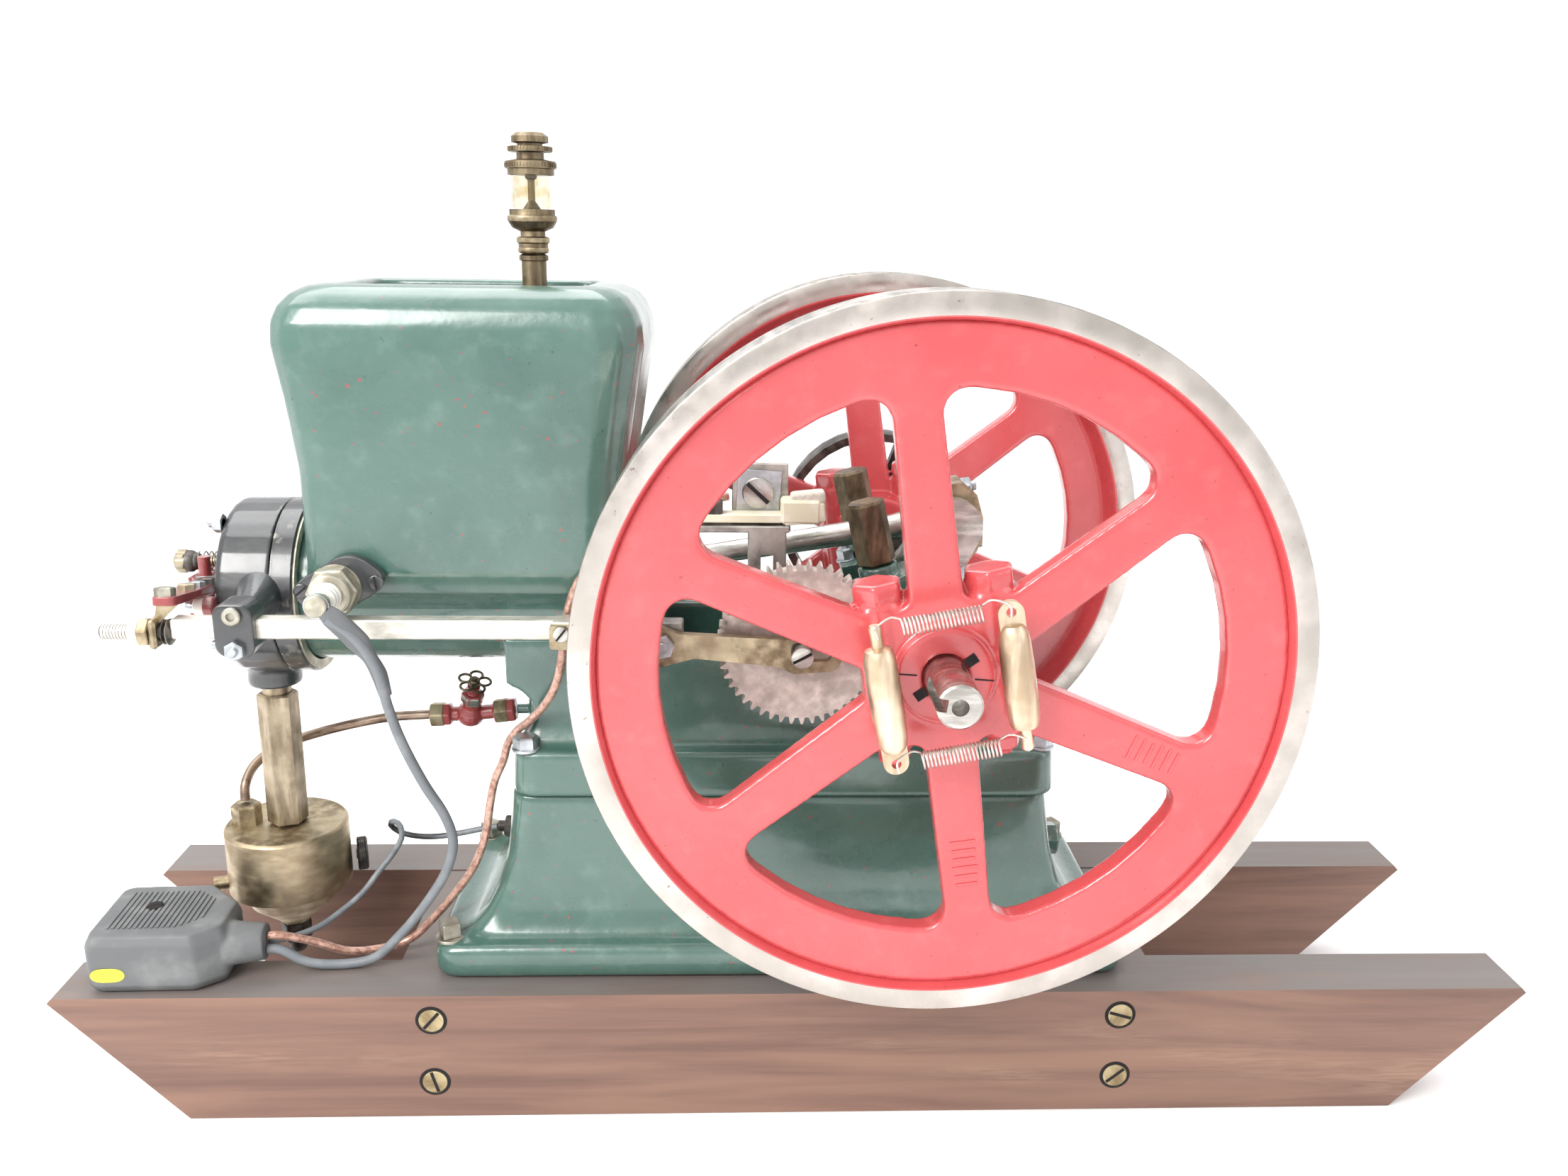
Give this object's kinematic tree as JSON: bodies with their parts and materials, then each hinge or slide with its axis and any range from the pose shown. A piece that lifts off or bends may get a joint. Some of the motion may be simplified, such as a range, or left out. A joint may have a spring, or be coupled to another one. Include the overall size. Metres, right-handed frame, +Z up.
{
  "type": "model petrol engine",
  "caption": "Horizontal open-crank model petrol engine with spoked flywheels, open water hopper, push-rod valve gear and fuel bowl on timber skids.",
  "frame": {"origin": "on the floor under the middle of the skids, on the middle plane of the engine", "axes": "+X from the cylinder head to the crankshaft, +Y away from the push-rod side, +Z up"},
  "size_m": [0.42, 0.206, 0.272],
  "materials": {
    "stained_wood": "stained, worn",
    "green_enamel": "gloss enamel",
    "black_enamel": "semi-gloss enamel",
    "red_enamel": "gloss enamel",
    "bright_steel": "bright",
    "grey_steel": "dull",
    "dark_iron": "dark",
    "brass": "tarnished",
    "bronze": "dark, aged",
    "copper_pipe": "dull copper",
    "glass": "clear, stained by oil",
    "porcelain": "glazed",
    "nylon": "cream",
    "grey_plastic": "ribbed",
    "grey_lead": "PVC sheath",
    "brown_lead": "clear sheath over copper"
  },
  "bodies": {
    "frame": {"skid_near": "stained_wood", "skid_far": "stained_wood", "cross_rail_left": "stained_wood", "cross_rail_right": "stained_wood", "sub_base": "green_enamel", "engine_casting": "green_enamel", "main_bearing_cap_near": "green_enamel", "main_bearing_cap_far": "green_enamel", "cylinder_liner": "black_enamel", "cylinder_head": "black_enamel", "cam_stud": "grey_steel", "push_rod_guide": "black_enamel", "rocker_bracket": "red_enamel", "spark_plug_flange": "black_enamel", "spark_plug_shell": "bright_steel", "spark_plug_insulator": "porcelain", "breaker_bracket": "grey_steel", "mixer_riser": "bronze", "fuel_bowl": "brass", "fuel_pipe": "copper_pipe", "fuel_valve_body": "red_enamel", "fuel_pickup_elbow": "green_enamel", "oiler_pipe": "bronze", "oiler_glass": "glass", "oiler_top": "bronze", "intake_spring": "grey_steel", "mains_plug": "grey_plastic", "lead_spark_plug": "grey_lead", "lead_breaker": "brown_lead", "lead_earth": "grey_lead"},
    "crankshaft": {"crankshaft_near": "bright_steel", "crankshaft_far": "bright_steel", "flywheel_near": "red_enamel", "flywheel_far": "red_enamel", "belt_pulley": "dark_iron", "crank_gear": "grey_steel", "governor_spring_upper": "bright_steel", "governor_spring_lower": "bright_steel"},
    "governor_left": {"governor_weight_left": "brass"},
    "governor_right": {"governor_weight_right": "brass"},
    "timing_gear": {"timing_gear": "grey_steel"},
    "piston": {"piston": "grey_steel", "gudgeon_pin": "bright_steel"},
    "connecting_rod": {"connecting_rod": "bright_steel", "big_end_cap": "brass", "crankpin": "bright_steel"},
    "push_rod": {"push_rod": "bright_steel", "push_rod_nut": "brass", "cam_follower_link": "brass", "rocker_tongue": "brass"},
    "rocker_arm": {"rocker_arm": "red_enamel"},
    "exhaust_valve": {"exhaust_valve": "brass"},
    "intake_valve": {"intake_valve": "brass"},
    "breaker_arm": {"breaker_arm": "nylon"},
    "grease_cup_near": {"grease_cup_near": "bronze"},
    "grease_cup_far": {"grease_cup_far": "bronze"},
    "mixer_needle": {"mixer_needle": "dark_iron"},
    "fuel_valve_wheel": {"fuel_valve_wheel": "bronze"},
    "oiler_knob": {"oiler_knob": "bronze"}
  },
  "joints": [
    {"name": "crank_spin", "type": "hinge", "parent": "frame", "child": "crankshaft", "pos_m": [0.0304, 0, 0.146], "axis": [0, 1, 0], "continuous": true},
    {"name": "timing_spin", "type": "hinge", "parent": "frame", "child": "timing_gear", "pos_m": [-0.00184, 0, 0.14084], "axis": [0, 1, 0], "continuous": true},
    {"name": "piston_slide", "type": "slide", "parent": "frame", "child": "piston", "axis": [1, 0, 0], "range_m": [-0.0379, 0.0101]},
    {"name": "rod_swing", "type": "hinge", "parent": "piston", "child": "connecting_rod", "pos_m": [-0.0857, 0, 0.146], "axis": [0, 1, 0], "range_deg": [-1.5, 19.8]},
    {"name": "push_rod_slide", "type": "slide", "parent": "frame", "child": "push_rod", "axis": [-1, 0, 0], "range_m": [0, 0.005], "stiffness_N_per_m": 250, "springref_m": -0.006},
    {"name": "rocker_turn", "type": "hinge", "parent": "frame", "child": "rocker_arm", "pos_m": [-0.1685, -0.012, 0.1464], "axis": [0, 0, 1], "range_deg": [-10.2, 0]},
    {"name": "exhaust_valve_slide", "type": "slide", "parent": "frame", "child": "exhaust_valve", "axis": [1, 0, 0], "range_m": [0, 0.0046]},
    {"name": "intake_valve_slide", "type": "slide", "parent": "frame", "child": "intake_valve", "axis": [1, 0, 0], "range_m": [0, 0.003], "stiffness_N_per_m": 120, "springref_m": -0.005, "deforming": ["intake_spring"]},
    {"name": "governor_left_slide", "type": "slide", "parent": "crankshaft", "child": "governor_left", "axis": [-0.9833, 0, -0.1822], "range_m": [0, 0.003], "stiffness_N_per_m": 400, "springref_m": -0.004},
    {"name": "governor_right_slide", "type": "slide", "parent": "crankshaft", "child": "governor_right", "axis": [0.9833, 0, 0.1822], "range_m": [0, 0.003]},
    {"name": "breaker_lift", "type": "hinge", "parent": "frame", "child": "breaker_arm", "pos_m": [-0.029, -0.0205, 0.1712], "axis": [0, 1, 0], "range_deg": [-4, 0], "stiffness_Nm_per_rad": 0.4, "springref_deg": 6.88},
    {"name": "grease_near_turn", "type": "hinge", "parent": "frame", "child": "grease_cup_near", "pos_m": [0.0197, -0.0245, 0.15921], "axis": [-0.2284, 0, 0.9736], "range_deg": [-360, 0]},
    {"name": "grease_far_turn", "type": "hinge", "parent": "frame", "child": "grease_cup_far", "pos_m": [0.0197, 0.0245, 0.15921], "axis": [-0.2284, 0, 0.9736], "range_deg": [-360, 0]},
    {"name": "mixer_needle_turn", "type": "hinge", "parent": "frame", "child": "mixer_needle", "pos_m": [-0.13922, 0.00612, 0.056], "axis": [0.9507, 0.3102, 0], "range_deg": [0, 720]},
    {"name": "fuel_valve_turn", "type": "hinge", "parent": "frame", "child": "fuel_valve_wheel", "pos_m": [-0.09903, 0.00631, 0.1125], "axis": [0.2006, -0.3811, 0.9025], "range_deg": [-720, 0]},
    {"name": "oiler_knob_turn", "type": "hinge", "parent": "frame", "child": "oiler_knob", "pos_m": [-0.0752, 0, 0.2669], "axis": [0, 0, 1], "range_deg": [0, 360]}
  ],
  "couplings": [
    {"joint": "timing_spin", "follows": "crank_spin", "ratio": -0.5},
    {"joint": "rocker_turn", "follows": "push_rod_slide", "rad_per_m": -35.1},
    {"joint": "exhaust_valve_slide", "follows": "push_rod_slide", "ratio": 0.9},
    {"joint": "governor_right_slide", "follows": "governor_left_slide", "ratio": 1}
  ]
}
